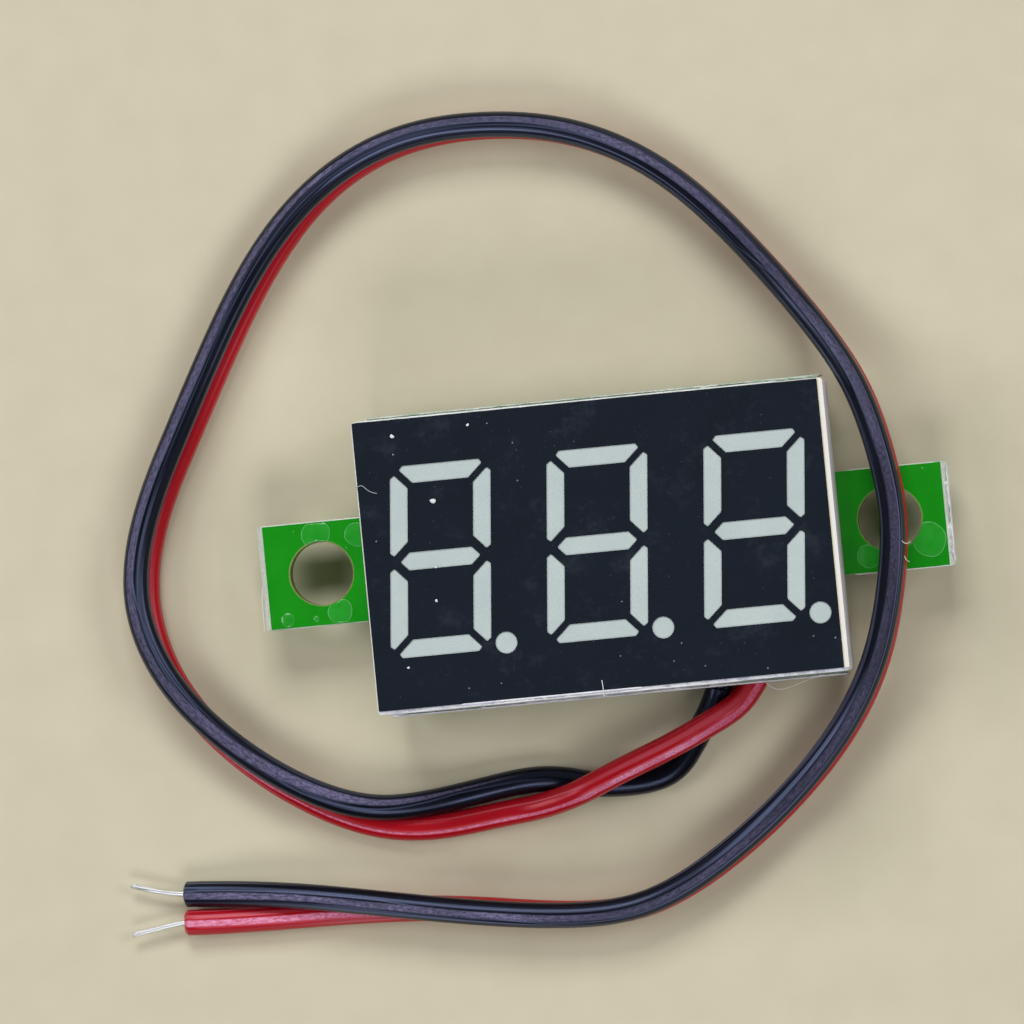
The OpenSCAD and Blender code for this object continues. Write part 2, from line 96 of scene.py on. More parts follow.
# Marks along each wire: row of the route, turn from the top of the wire towards the left of the
# way ahead in degrees, half width in degrees and strength. The torn mark is the rough strip where
# the wire was pulled off its neighbour in the ribbon, and its strength also lightens it as a
# painted highlight; on the red wire it is mostly a painted pink highlight. The line mark is a
# painted highlight line, not raised.
BLACK_TORN_AND_HIGHLIGHT = [[10, -30, 4, 0.1], [10.9, -30, 6, 0.5], [11.7, -27, 14, 0.75], [12.6, -20, 20, 0.85],
              [13.8, 0, 27, 0.8], [14.4, 4, 27, 0.75], [15.1, 20, 22, 0.7], [16.3, 28, 19, 0.6],
              [18.4, 25, 20, 0.5], [20.8, 30, 14, 0.55], [21, 29, 13, 0.85], [21.3, 27, 13, 0.6],
              [23.7, 22, 15, 0.62], [24.5, 14, 20, 0.55], [27, 17, 20, 0.42], [29.5, 11, 24, 0.4],
              [33, 14, 22, 0.38], [35.5, 14, 16, 0.4], [36.8, 12, 16, 0.55], [37.4, 12, 16, 1],
              [39.2, 9, 16, 0.95], [40.8, 8, 16, 0.8], [41, 8, 16, 0.6]]
BLACK_HIGHLIGHT_LINE = [[9, 10, 8, 0], [11, -14, 4, 0.3], [13, 26, 5, 0.5], [14.6, -22, 5, 0.5],
              [15.7, -14, 5, 0.5], [16.3, 14, 3, 0.7], [18.4, 10, 3, 0.4], [20.9, -18, 4, 0.1],
              [21.2, -18, 5, 0.8], [24.5, -30, 4, 0.75], [26, -32, 4, 0.2], [27, 38, 3, 0.6],
              [29.5, 34, 4, 0.8], [33, 40, 4, 0.9], [35.5, 36, 4, 0.9], [37, 38, 4, 0.5],
              [39, -16, 4, 0.6], [41, -16, 4, 0.6]]
RED_TORN_AND_HIGHLIGHT = [[0, 30, 17, 0.3], [2, 32, 18, 0.7], [4, 34, 17, 1], [8.7, 32, 13, 1], [10, 27, 8, 0.9],
            [13, 27, 5, 0.8], [15, 60, 10, 0.3], [38, 30, 14, 0.5], [39.3, 12, 15, 0.9],
            [41, 4, 16, 0.9]]
RED_HIGHLIGHT_LINE = [[0, -15, 16, 0.1], [2, -14, 17, 0.45], [6, -14, 14, 0.5], [8, -16, 10, 0.3],
            [9.6, -27, 4, 0.9], [11, -30, 4, 0.5], [12, -32, 4, 0], [38, -30, 6, 0],
            [41, -22, 6, 0.3]]
# How strongly the extrusion lines show along the lead, lightened as painted highlights: row of the
# route and strength
RIB_HIGHLIGHTS = [[0, 0.15], [11, 0.25], [13, 0.5], [16, 0.55], [18, 0.4], [24, 0.45], [29, 0.5],
        [33, 0.7], [34.3, 1], [39, 0.9], [41, 0.85]]


def smooth_route(rows, per_span):
    """Natural cubic spline through rows of numbers: on each span every column is a cubic of the
    way along, and its slope and bend are equal on both sides of every row. Returns the finer
    rows and their place in row numbers."""
    rows = np.array(rows, float)
    count = len(rows)
    span = np.linalg.norm(np.diff(rows[:, :2], axis=0), axis=1)
    inner = np.arange(1, count - 1)
    system = np.eye(count)
    system[inner, inner - 1] = span[:-1]
    system[inner, inner] = 2 * (span[:-1] + span[1:])
    system[inner, inner + 1] = span[1:]
    slope = np.diff(rows, axis=0) / span[:, None]
    right = np.zeros_like(rows)
    right[inner] = 6 * (slope[1:] - slope[:-1])
    bend = np.linalg.solve(system, right)
    at = np.linspace(0, count - 1, (count - 1) * per_span + 1)
    i = np.minimum(at.astype(int), count - 2)
    share = (at - i)[:, None]
    rest = 1 - share
    width = span[i][:, None] ** 2 / 6
    fine = (rest * rows[i] + share * rows[i + 1] + width * (rest ** 3 - rest) * bend[i]
            + width * (share ** 3 - share) * bend[i + 1])
    return fine, at


def travelled(path):
    """Distance along a path from its start to each of its points."""
    return np.concatenate([[0], np.cumsum(np.linalg.norm(np.diff(path, axis=0), axis=1))])


def unit(vectors):
    """Vectors divided by their lengths."""
    return vectors / np.linalg.norm(vectors, axis=-1, keepdims=True)


def tangents(path):
    """Way ahead at each point: the difference of its neighbours, one long."""
    return unit(np.gradient(path, axis=0))


def sideways(path):
    """At each point of a path, the level direction to its left, and the one square to both, up."""
    ahead = tangents(path)
    left = unit(np.cross(np.array([0.0, 0.0, 1.0]), ahead))
    return left, np.cross(ahead, left)


def bell_mean(values, along, width):
    """Mean of the values round each point of a path, where a value at the distance d weighs
    exp(-(d / width)^2 / 2)."""
    weight = np.exp(-((along[:, None] - along[None, :]) / width[:, None]) ** 2 / 2)
    return (weight / weight.sum(axis=1, keepdims=True)) @ values


# For each wire (1 black, -1 red): the bell's width in mm that evens its turns out near the meter,
# the last row of the route where it is whole, and the row where it has faded out
EASED = {1: (0.45, 7, 9), -1: (1.15, 9.5, 11.5)}
# Bell's width at the meter, distance in which it may grow by 1, and its share for the height
BELL_START, BELL_GROWS, BELL_HEIGHT = 0.02, 2.2, 0.35
# Rows of the route between which the wire on top runs straight over the other one
BRIDGE = (3, 8)


def eased(path, at, bell_mm, last, gone):
    """Path whose x and y are averaged along it with a bell, which shrinks towards the start so
    that the first point stays, and fades out behind row last. The upper wire's height is filled
    up to the chord of the bridge and averaged less widely."""
    along = travelled(path)
    bell = np.minimum(bell_mm, BELL_START + along / BELL_GROWS)
    bell = bell * np.clip((gone - at) / (gone - last), BELL_START, 1)
    smooth = path.copy()
    smooth[:, :2] = bell_mean(path[:, :2], along, bell)
    over = (at >= BRIDGE[0]) & (at <= BRIDGE[1])
    chord = np.interp(along, along[over][[0, -1]], path[over][[0, -1], 2])
    on_top = path[over, 2].max() > 1.4 * WIRE_D and path[over, 2].mean() > WIRE_D
    height = np.where(over & on_top, np.maximum(path[:, 2], chord), path[:, 2])
    smooth[:, 2] = np.maximum(bell_mean(height, along, BELL_HEIGHT * bell), WIRE_D / 2)
    return smooth


def wire_path(side, per_span=9):
    """Middle line of one wire: the route moved half the wires' distance along the lean angle.
    side is 1 for black and -1 for red; rise keeps the lower wire on the table."""
    fine, at = smooth_route(LEAD_ROUTE, per_span)
    ahead = unit(np.gradient(fine[:, :2], axis=0))
    lean = np.radians(fine[:, 3])
    up = fine[:, 4] / 2 * np.cos(lean)
    out = fine[:, 4] / 2 * np.sin(lean)
    rise = np.sqrt(up ** 2 + 0.08 ** 2)
    lift = np.maximum(fine[:, 2], 0)
    path = np.stack([fine[:, 0] + side * out * ahead[:, 1], fine[:, 1] - side * out * ahead[:, 0],
                     lift + WIRE_D / 2 + rise + side * up], axis=1)
    return eased(path, at, *EASED[side]), at


# ------------------------ mesh helpers

def inside_out(mesh):
    """True when the mesh's signed volume is negative: the sum of a . (b x c) / 6 over its
    triangles, measured from its own middle."""
    mesh.calc_loop_triangles()
    place = np.empty(len(mesh.vertices) * 3)
    mesh.vertices.foreach_get("co", place)
    place = place.reshape(-1, 3)
    corner = np.empty(len(mesh.loop_triangles) * 3, dtype=np.int32)
    mesh.loop_triangles.foreach_get("vertices", corner)
    a, b, c = np.moveaxis((place - place.mean(axis=0))[corner.reshape(-1, 3)], 1, 0)
    return (a * np.cross(b, c)).sum() < 0


def surface(name, points, material, slot=None, scale=(1.0, 1.0)):
    """Closed mesh of a grid of points [rows, columns, 3] in millimetres: the last column joins
    the first, and a fan round its own middle fills the first and the last row. The UV map holds
    row and column, times scale. The faces are turned outwards."""
    rows, columns = points.shape[:2]
    row, column = np.meshgrid(np.arange(rows - 1), np.arange(columns), indexing="ij")
    here, after = row * columns + column, row * columns + (column + 1) % columns
    quads = np.stack([here, after, after + columns, here + columns], axis=-1).reshape(-1, 4)
    quads_uv = np.stack([row, column, row, column + 1, row + 1, column + 1, row + 1, column],
                        axis=-1).reshape(-1, 2)
    ring = np.arange(columns)
    after = (ring + 1) % columns
    last_row = (rows - 1) * columns
    first = np.stack([np.full(columns, rows * columns), after, ring], axis=1)
    last = np.stack([np.full(columns, rows * columns + 1), last_row + ring, last_row + after],
                    axis=1)
    fans_uv = np.stack([np.repeat([0, rows - 1], columns), np.tile(ring + 0.5, 2)],
                       axis=1).repeat(3, axis=0)
    corners = np.concatenate([points.reshape(-1, 3),
                              [points[0].mean(axis=0), points[-1].mean(axis=0)]])
    mesh = bpy.data.meshes.new(name)
    mesh.from_pydata((corners * MM).tolist(), [], quads.tolist() + first.tolist() + last.tolist())
    uv = np.concatenate([quads_uv, fans_uv]) * np.array(scale)
    mesh.uv_layers.new(name="UVMap").data.foreach_set("uv", uv.ravel())
    if inside_out(mesh):
        mesh.flip_normals()
    mesh.shade_smooth()
    mesh.materials.append(material)
    piece = bpy.data.objects.new(name, mesh)
    bpy.context.scene.collection.objects.link(piece)
    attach(piece, "meter")
    return piece


def joined(name, parts):
    """One mesh from several: their vertices and faces one after another."""
    with bpy.context.temp_override(active_object=parts[0], selected_editable_objects=parts,
                                   selected_objects=parts, object=parts[0]):
        bpy.ops.object.join()
    parts[0].name = name
    parts[0].data.name = name
    return parts[0]


def tube_points(path, radius, sides):
    """Rings round a path: each runs from the wire's underside round by the right of the way ahead,
    the top and the left. radius is one number, one per ring, or one per ring and column."""
    left, up = sideways(path)
    angle = np.linspace(0, 2 * np.pi, sides, endpoint=False) - np.pi
    r = np.asarray(radius, float)
    r = np.broadcast_to(r.reshape(-1, 1) if r.ndim < 2 else r, (len(path), sides))
    return (path[:, None, :] + (r * np.cos(angle))[..., None] * up[:, None, :]
            + (r * np.sin(angle))[..., None] * left[:, None, :])


# ------------------------ material helpers

# Settings that every node of a kind has here, and the operations of the Math nodes
ALWAYS = {"MapRange": {"interpolation_type": "SMOOTHSTEP"}, "Mix": {"data_type": "RGBA"}}
TIMES = {"operation": "MULTIPLY"}
PLUS = {"operation": "ADD"}
MINUS = {"operation": "SUBTRACT"}
LARGER = {"operation": "MAXIMUM"}
ABSOLUTE = {"operation": "ABSOLUTE"}


def linear(code):
    """sRGB hex colour to linear RGBA."""
    part = np.array([int(code[i:i + 2], 16) for i in (1, 3, 5)]) / 255
    value = np.where(part <= 0.04045, part / 12.92, ((part + 0.055) / 1.055) ** 2.4)
    return (*value.tolist(), 1.0)


def add(tree, kind, *values, out=None, **settings):
    """Adds one node and returns its output, the first live one unless out names another. The
    values go to its live inputs in order: each is a link, a number, a vector or a hex colour, and
    None leaves an input alone. The settings are its properties."""
    node = tree.nodes.new("ShaderNode" + kind)
    for key, value in {**ALWAYS.get(kind, {}), **settings}.items():
        setattr(node, key, value)
    for socket, value in zip([each for each in node.inputs if each.enabled], values):
        if isinstance(value, bpy.types.NodeSocket):
            tree.links.new(value, socket)
        elif value is not None:
            socket.default_value = linear(value) if isinstance(value, str) else value
    return node.outputs[out] if out else next(each for each in node.outputs if each.enabled)


def blotch(size_mm):
    """Scale of a noise whose blotches are about size_mm wide, on coordinates in metres."""
    return 0.5 / (size_mm * MM)


def new_material(name, inputs):
    """A material with one principled shader; returns it, its tree and the shader."""
    made = bpy.data.materials.new(name)
    made.use_nodes = True
    tree = made.node_tree
    shader = tree.nodes["Principled BSDF"]
    for key, value in inputs.items():
        shader.inputs[key].default_value = value
    return made, tree, shader


def dress(tree, shader, colour, rough=None, relief=None, depth_mm=0.0):
    """Links the patterns to a shader: its colour, its roughness, and its relief, whose 0 to 1
    stands for depth_mm."""
    tree.links.new(colour, shader.inputs["Base Color"])
    if rough is not None:
        tree.links.new(rough, shader.inputs["Roughness"])
    if relief is not None:
        tree.links.new(add(tree, "Bump", 1, depth_mm * MM, None, relief), shader.inputs["Normal"])


# ------------------------ camera, table and light

# Lamps: name, direction round the table and tilt from overhead in degrees, and power in watts.
# Their distance and size, and the table, are in metres, and the room's values are strengths.
LAMPS = [("lamp_far", 95, 42, 3.5), ("lamp_left", 172, 45, 2.2), ("lamp_right", 8, 45, 1.8),
         ("lamp_near", 272, 42, 2.2)]
LAMP_FAR = 0.85
LAMP_SIZE = (0.42, 0.3)
ROOM_WALLS = 0.13
ROOM_TOP = 0.04
TABLE_HALF = 1.2
CAMERA_LENS = 358.8
SENSOR_WIDTH = 36
CAMERA_CLIP = (0.01, 20)
CAMERA_TILT = (-0.8, -3.46, 5.53)
CAMERA_AT = (25.8, -4.87, 502.53)


def make_camera():
    """A long lens almost straight above the face, turned a little against its edges."""
    data = bpy.data.cameras.new("camera")
    data.lens = CAMERA_LENS
    data.sensor_width = SENSOR_WIDTH
    data.clip_start, data.clip_end = CAMERA_CLIP
    eye = bpy.data.objects.new("camera", data)
    turn = [Matrix.Rotation(math.radians(angle), 3, axis)
            for angle, axis in zip(CAMERA_TILT, "XYZ")]
    eye.matrix_world = Matrix.LocRotScale(Vector(CAMERA_AT) * MM,
                                          (turn[2] @ turn[1] @ turn[0]).transposed(), None)
    bpy.context.scene.collection.objects.link(eye)
    bpy.context.scene.camera = eye


def make_table():
    """Plain pale table top, painted satin."""
    made, tree, shader = new_material("pale_table_paint", {"Roughness": 0.75, "IOR": 1.45})
    tone = add(tree, "TexNoise", add(tree, "TexCoord", out="Object"), blotch(1.2), 4)
    dress(tree, shader, add(tree, "Mix", tone, "#c9c1a6", "#d3ccb3"))
    mesh = bpy.data.meshes.new("table")
    half = TABLE_HALF
    mesh.from_pydata([(-half, -half, 0), (half, -half, 0), (half, half, 0), (-half, half, 0)], [],
                     [(0, 1, 2, 3)])
    mesh.materials.append(made)
    table = bpy.data.objects.new("table", mesh)
    bpy.context.scene.collection.objects.link(table)


def make_lamp(name, place, size, power):
    """Square soft box that faces the meter."""
    data = bpy.data.lights.new(name, "AREA")
    data.shape = "RECTANGLE"
    data.size, data.size_y = size
    data.energy = power
    lamp = bpy.data.objects.new(name, data)
    lamp.location = place
    lamp.rotation_mode = "QUATERNION"
    lamp.rotation_quaternion = (-Vector(place)).to_track_quat("-Z", "Y")
    bpy.context.scene.collection.objects.link(lamp)


def make_light():
    """Soft boxes all round at a steep slant, the far one brightest, under a room that is dim
    overhead and brighter towards its walls."""
    world = bpy.data.worlds.new("room")
    world.use_nodes = True
    tree = world.node_tree
    back = tree.nodes["Background"]
    upward = add(tree, "SeparateXYZ", add(tree, "TexCoord", out="Generated"), out="Z")
    tree.links.new(add(tree, "MapRange", upward, 0.35, 0.97, ROOM_WALLS, ROOM_TOP),
                   back.inputs["Strength"])
    back.inputs["Color"].default_value = linear("#eef2fb")
    bpy.context.scene.world = world
    for name, turn, tilt, power in LAMPS:
        around, down = math.radians(turn), math.radians(tilt)
        place = Vector((math.cos(around) * math.sin(down), math.sin(around) * math.sin(down),
                        math.cos(down))) * LAMP_FAR
        make_lamp(name, place, LAMP_SIZE, power)
    bpy.context.scene.view_settings.view_transform = "Standard"


make_camera()
make_table()
make_light()


# ------------------------ insulation of the lead

def soft_vinyl(name, skin, line, torn, torn_pale_highlight, sheen):
    """Soft PVC insulation, extruded: a satin skin with fine lines along the wire, lightened as
    painted highlights, a matt speckled strip where the ribbon was pulled apart, paler where its
    strength adds a painted highlight, and a painted highlight line in the colour line. UV runs in
    metres, x along the wire and y round it; the marks come as attributes, 0 in their middle and 1
    at their edges. sheen tints the gloss, as the plasticizer's film does. The extrusion lines are
    drawn 0.1 mm wide, coarser than real ones, so that they show."""
    made, tree, shader = new_material(name, {"IOR": 1.5, "Specular IOR Level": 0.5,
                                             "Specular Tint": linear(sheen)})
    uv = add(tree, "TexCoord", out="UV")
    torn_at, torn_force, highlight_line_at, highlight_line_force, rib_highlight_force = [
        add(tree, "Attribute", out="Fac", attribute_name=key)
        for key in ("torn", "torn_force", "line", "highlight_line_force", "rib_highlights")]

    def drawn(shrink, grain_mm, detail, rough=0.6):
        """Noise stretched along the wire."""
        stretched = add(tree, "Mapping", uv, None, None, (shrink, 1, 1))
        return add(tree, "TexNoise", stretched, blotch(grain_mm), detail, rough)

    ragged = add(tree, "Math", add(tree, "Math", torn_at, **ABSOLUTE),
                 add(tree, "Math", drawn(0.2, 0.3, 4), 0.8, **TIMES), **PLUS)
    strip = add(tree, "Math", add(tree, "MapRange", ragged, 0.95, 1.6, 1, 0),
                add(tree, "MapRange", torn_force, 0.02, 0.3), **TIMES)
    speck = drawn(0.55, 0.065, 4, 0.8)
    patch = drawn(0.25, 0.9, 3)
    grooves = drawn(0.012, 0.13, 2)
    # painted highlights along the extrusion grooves, in the colour line
    rib_highlights = add(tree, "Math", add(tree, "MapRange", grooves, 0.52, 0.66), rib_highlight_force, **TIMES)
    # painted highlight line from the attribute line, in the colour line; it is not raised
    off_highlight_line = add(tree, "Math", highlight_line_at, **ABSOLUTE)
    line_highlight = add(tree, "Math", add(tree, "MapRange", off_highlight_line, 0.4, 1.2, 1, 0), highlight_line_force, **TIMES)
    shine = add(tree, "Math", add(tree, "Math", rib_highlights, line_highlight, **LARGER), 0.8, **TIMES)
    # brightness of the torn strip: real specks and patches, times its strength, which adds a
    # painted highlight
    force = add(tree, "Math", add(tree, "MapRange", speck, 0.32, 0.7, 0.2, 1.2),
                torn_force, **TIMES)
    force = add(tree, "Math", force, add(tree, "MapRange", patch, 0.35, 0.65, 0.6, 1.15), **TIMES)
    colour = add(tree, "Mix", strip, add(tree, "Mix", shine, skin, line),
                 add(tree, "Mix", force, torn, torn_pale_highlight))
    polish = add(tree, "MapRange", drawn(0.03, 0.06, 2), 0.3, 0.7, 0.25, 0.36)
    rough = add(tree, "Math", polish, add(tree, "Math", strip, 0.2, **TIMES), **PLUS)
    pits = add(tree, "Math", strip, add(tree, "Math", speck, 1, **MINUS), **TIMES)
    relief = add(tree, "Math", add(tree, "Math", grooves, 0.5, **TIMES), pits, **PLUS)
    dress(tree, shader, colour, rough, relief, 0.02)
    return made


def along_rows(table, at):
    """Columns of a table of marks at each ring, straight between its rows."""
    rows = np.array(table, float)
    return [np.interp(at, rows[:, 0], rows[:, i]) for i in range(1, rows.shape[1])]


def insulated_wire(name, side, torn, line, node, slot, material, end_cut):
    """One wire of the lead: round rings on the smoothed route, flattened a little at the torn
    strip, r = R (1 - deep exp(-(turn / width)^4)) with a low lip at each side of it, and trimmed
    at the free end by end_cut = (length, share of the radius left). Angles run from the top to
    the left."""
    path, at = wire_path(side)
    angle = np.linspace(0, 2 * np.pi, WIRE_SIDES, endpoint=False) - np.pi
    torn_turn, torn_half, torn_force = along_rows(torn, at)
    # the line mark is a painted highlight line; only the torn strip and its lips shape the radius
    highlight_line_turn, highlight_line_half, highlight_line_force = along_rows(line, at)
    from_torn = (angle - np.radians(torn_turn)[:, None]) / np.radians(torn_half)[:, None]
    from_highlight_line = (angle - np.radians(highlight_line_turn)[:, None]) / np.radians(highlight_line_half)[:, None]
    deep = 0.5 * (1 - np.cos(np.minimum(np.radians(torn_half), 0.5))) * torn_force
    lip = LIP_HIGH * np.exp(-np.clip(np.abs(from_torn) - LIP_AT, -3, 3) ** 2 / LIP_WIDE)
    radius = WIRE_D / 2 * (1 - deep[:, None] * np.exp(-np.clip(from_torn, -3, 3) ** 4) + lip)
    points = tube_points(path, radius, WIRE_SIDES)
    length, left_share = end_cut
    share = np.linspace(0, 1, END_RINGS + 1)[1:, None, None]
    trimmed = (path[-1] + (points[-1] - path[-1]) * (1 - (1 - left_share) * share ** 1.6)
               + tangents(path)[-1] * length * share)
    step = travelled(path)[-1] / (len(path) - 1)
    piece = surface(name, np.concatenate([points, trimmed]), material, slot,
                    (step * MM, math.pi * WIRE_D / WIRE_SIDES * MM))
    # attributes: line is the painted highlight line, torn the torn strip, whose strength also
    # paints a highlight
    for key, value in (("torn", from_torn), ("line", from_highlight_line), ("torn_force", torn_force),
                       ("highlight_line_force", highlight_line_force), ("rib_highlights", along_rows(RIB_HIGHLIGHTS, at)[0])):
        value = np.broadcast_to(value.reshape(len(path), -1), from_torn.shape)
        value = np.concatenate([value, np.repeat(value[-1:], len(share), axis=0)]).ravel()
        value = np.concatenate([value, value[:1], value[-1:]])
        piece.data.attributes.new(key, "FLOAT", "POINT").data.foreach_set("value", value)
    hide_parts(node)
    return piece, path


# Colours: skin, line, torn, torn_pale_highlight and sheen. line colours the painted highlight
# lines and grooves; torn_pale_highlight is the torn strip's pale colour with a painted highlight,
# and on the red wire a painted pink highlight
black_vinyl = soft_vinyl("black_soft_vinyl", "#06080e", "#646d8e", "#101118", "#7a7396", "#b4c0f2")
red_vinyl = soft_vinyl("red_soft_vinyl", "#b00f1e", "#cc6c7a", "#bc2a48", "#f0a0c4", "#ffb0c0")
black_lead, black_line = insulated_wire("black_lead", 1, BLACK_TORN_AND_HIGHLIGHT, BLACK_HIGHLIGHT_LINE, "black_wire",
                                        "black_insulation", black_vinyl, (0.14, 0.66))
red_lead, red_line = insulated_wire("red_lead", -1, RED_TORN_AND_HIGHLIGHT, RED_HIGHLIGHT_LINE, "red_wire",
                                    "red_insulation", red_vinyl, (0.2, 0.6))


# ------------------------ bared conductor ends

def tinned_copper(name):
    """Tinned copper strands, drawn and dipped: bright, a little uneven grey metal."""
    made, tree, shader = new_material(name, {"Metallic": 1.0})
    tone = add(tree, "TexNoise", add(tree, "TexCoord", out="Object"), blotch(0.3), 3)
    dress(tree, shader, add(tree, "Mix", tone, "#c9cbcd", "#e9eaec"),
          add(tree, "MapRange", tone, 0.3, 0.7, 0.34, 0.5))
    return made


STRANDS, STRAND_D, STRAND_SPREAD = 4, 0.12, 0.075
tinned = tinned_copper("tinned_copper")


def strands(name, line, turns, node):
    """Tinned strands round a line: each keeps the distance STRAND_SPREAD from it and winds round
    it turns times; they end at slightly different lengths."""
    fine, _ = smooth_route(line, 10)
    left, up = sideways(fine)
    share = np.linspace(0, 1, len(fine))
    parts = []
    for strand in range(STRANDS):
        angle = 2 * np.pi * (strand / STRANDS + turns * share)
        path = fine + STRAND_SPREAD * (np.cos(angle)[:, None] * up + np.sin(angle)[:, None] * left)
        path = path[:len(path) - strand % 3]
        radius = np.full(len(path), STRAND_D / 2)
        radius[-1] *= 0.6
        parts.append(surface(f"{name}_{strand}", tube_points(path, radius, 10), tinned))
    piece = joined(name, parts)
    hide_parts(node)
    return piece


def tip_line(path, node, bow):
    """Points of a bared end: from inside its insulation to the far end of the node's box, bent
    sideways by bow."""
    low, high = box_mm(node)
    start = path[-1]
    end = np.array([low[0] + 0.1, high[1] - 0.15 if bow > 0 else low[1] + 0.15, start[2]])
    first = start - 0.6 * tangents(path)[-1]
    aside = np.array([0, bow, 0])
    return [first, start, (start + end) / 2 - aside,
            start + (end - start) * 0.82 - aside * 0.6, end]


black_tip = strands("black_bared_end", tip_line(black_line, "black_tip", 0.09), 0.3, "black_tip")
red_tip = strands("red_bared_end", tip_line(red_line, "red_tip", -0.05), 0.25, "red_tip")
for lead, line, tip in ((black_lead, black_line, black_tip), (red_lead, red_line, red_tip)):
    round(float(travelled(line)[-1]) * MM, 4)


# ------------------------ materials of the CAD nodes

def moulded_white(name):
    """Glass-filled polycarbonate, moulded white for high reflection: satin, creamy where the ink
    ends, and darker and a little violet everywhere below its top, a painted shade on its walls,
    with a fine grain from the mould, drawn coarser than the real one so that it shows. The near
    rim is scraped."""
    made, tree, shader = new_material(name, {"Roughness": 0.48, "IOR": 1.58})
    place = add(tree, "TexCoord", out="Object")
    x, y, z = (add(tree, "SeparateXYZ", place, out=axis) for axis in "XYZ")
    tone = add(tree, "Mix", add(tree, "TexNoise", place, blotch(0.8), 4), "#e2e1dd", "#efeeea")
    waver = add(tree, "Math", add(tree, "TexNoise", place, blotch(0.5), 3), 0.06 * MM, **TIMES)
    across = add(tree, "Math", x, waver, **PLUS)
    ink_end = add(tree, "MapRange", across, (INK_HIGH[0] + 0.06) * MM, (INK_HIGH[0] + 0.12) * MM,
                  1, 0)
    beside = add(tree, "Math", x, (INK_HIGH[0] - 0.05) * MM, operation="GREATER_THAN")
    lit = add(tree, "MapRange", z, (FACE_Z - 0.3) * MM, (FACE_Z - 0.12) * MM)
    cream = add(tree, "Math", add(tree, "Math", ink_end, beside, **TIMES), lit, **TIMES)
    front = add(tree, "Mix", cream, tone, "#ece0bc")
    scraped = add(tree, "MapRange", add(tree, "TexNoise", place, blotch(0.25), 5, 0.75), 0.36, 0.6)
    rim = add(tree, "Math", y, (INK_LOW[1] + 0.01) * MM, operation="LESS_THAN")
    front = add(tree, "Mix", rim, front, add(tree, "Mix", scraped, "#a3a6b2", "#d6d7de"))
    # painted shade: everything below the top, its walls too, is darker and violet-grey
    painted_wall_shade = add(tree, "MapRange", z, (FACE_Z - 0.3) * MM, (FACE_Z - 0.16) * MM, 1, 0)
    dress(tree, shader, add(tree, "Mix", painted_wall_shade, front, "#d9d8e1"), None,
          add(tree, "TexNoise", place, blotch(0.06), 3), 0.004)
    return made


def screen_ink(name):
    """Black epoxy screen ink: satin, blue-black, with a faint orange peel, fine short rubs in
    several directions and grey dust."""
    made, tree, shader = new_material(name, {"IOR": 1.5, "Specular IOR Level": 0.4})
    place = add(tree, "TexCoord", out="Object")

    def rub(turn, grain_mm):
        """Short faint strokes along one direction."""
        turned = add(tree, "Mapping", place, None, (0, 0, turn))
        drawn = add(tree, "Mapping", turned, None, None, (0.12, 1, 1))
        return add(tree, "MapRange", add(tree, "TexNoise", drawn, blotch(grain_mm), 3, 0.6),
                   0.7, 0.82)

    rubs = add(tree, "Math", rub(0.35, 0.13),
               add(tree, "Math", rub(1.5, 0.11), rub(2.5, 0.12), **LARGER), **LARGER)
    cloud = add(tree, "MapRange", add(tree, "TexNoise", place, blotch(0.9), 6, 0.75),
                0.5, 0.72, 0, 0.45)
    dust = add(tree, "MapRange", add(tree, "TexNoise", place, blotch(0.07), 2), 0.69, 0.8, 0, 0.4)
    tone = add(tree, "TexNoise", place, blotch(2.2), 5, 0.6)
    base = add(tree, "Mix", tone, "#0f1620", "#18202b")
    marked = add(tree, "Mix", cloud, base, "#222b37")
    marked = add(tree, "Mix", add(tree, "Math", rubs, 0.35, **TIMES), marked, "#3a434e")
    dress(tree, shader, add(tree, "Mix", dust, marked, "#56606b"),
          add(tree, "MapRange", cloud, 0, 0.45, 0.3, 0.38),
          add(tree, "TexNoise", place, blotch(0.12), 2), 0.002)
    return made


def milky_resin(name):
    """Cast epoxy with a white diffuser, ground flush: pale grey-green, satin, slightly cloudy."""
    made, tree, shader = new_material(name, {"Roughness": 0.42, "IOR": 1.54,
                                             "Subsurface Weight": 0.15,
                                             "Subsurface Radius": (0.0006, 0.0006, 0.0006)})
    place = add(tree, "TexCoord", out="Object")
    fine = add(tree, "TexNoise", place, blotch(0.06), 2)
    tone = add(tree, "Mix", add(tree, "TexNoise", place, blotch(0.9), 4), "#b2c0bf", "#c6d1cf")
    ground = add(tree, "MapRange", fine, 0.6, 0.8, 0, 0.35)
    dress(tree, shader, add(tree, "Mix", ground, tone, "#dfe6e4"), None, fine, 0.003)
    return made


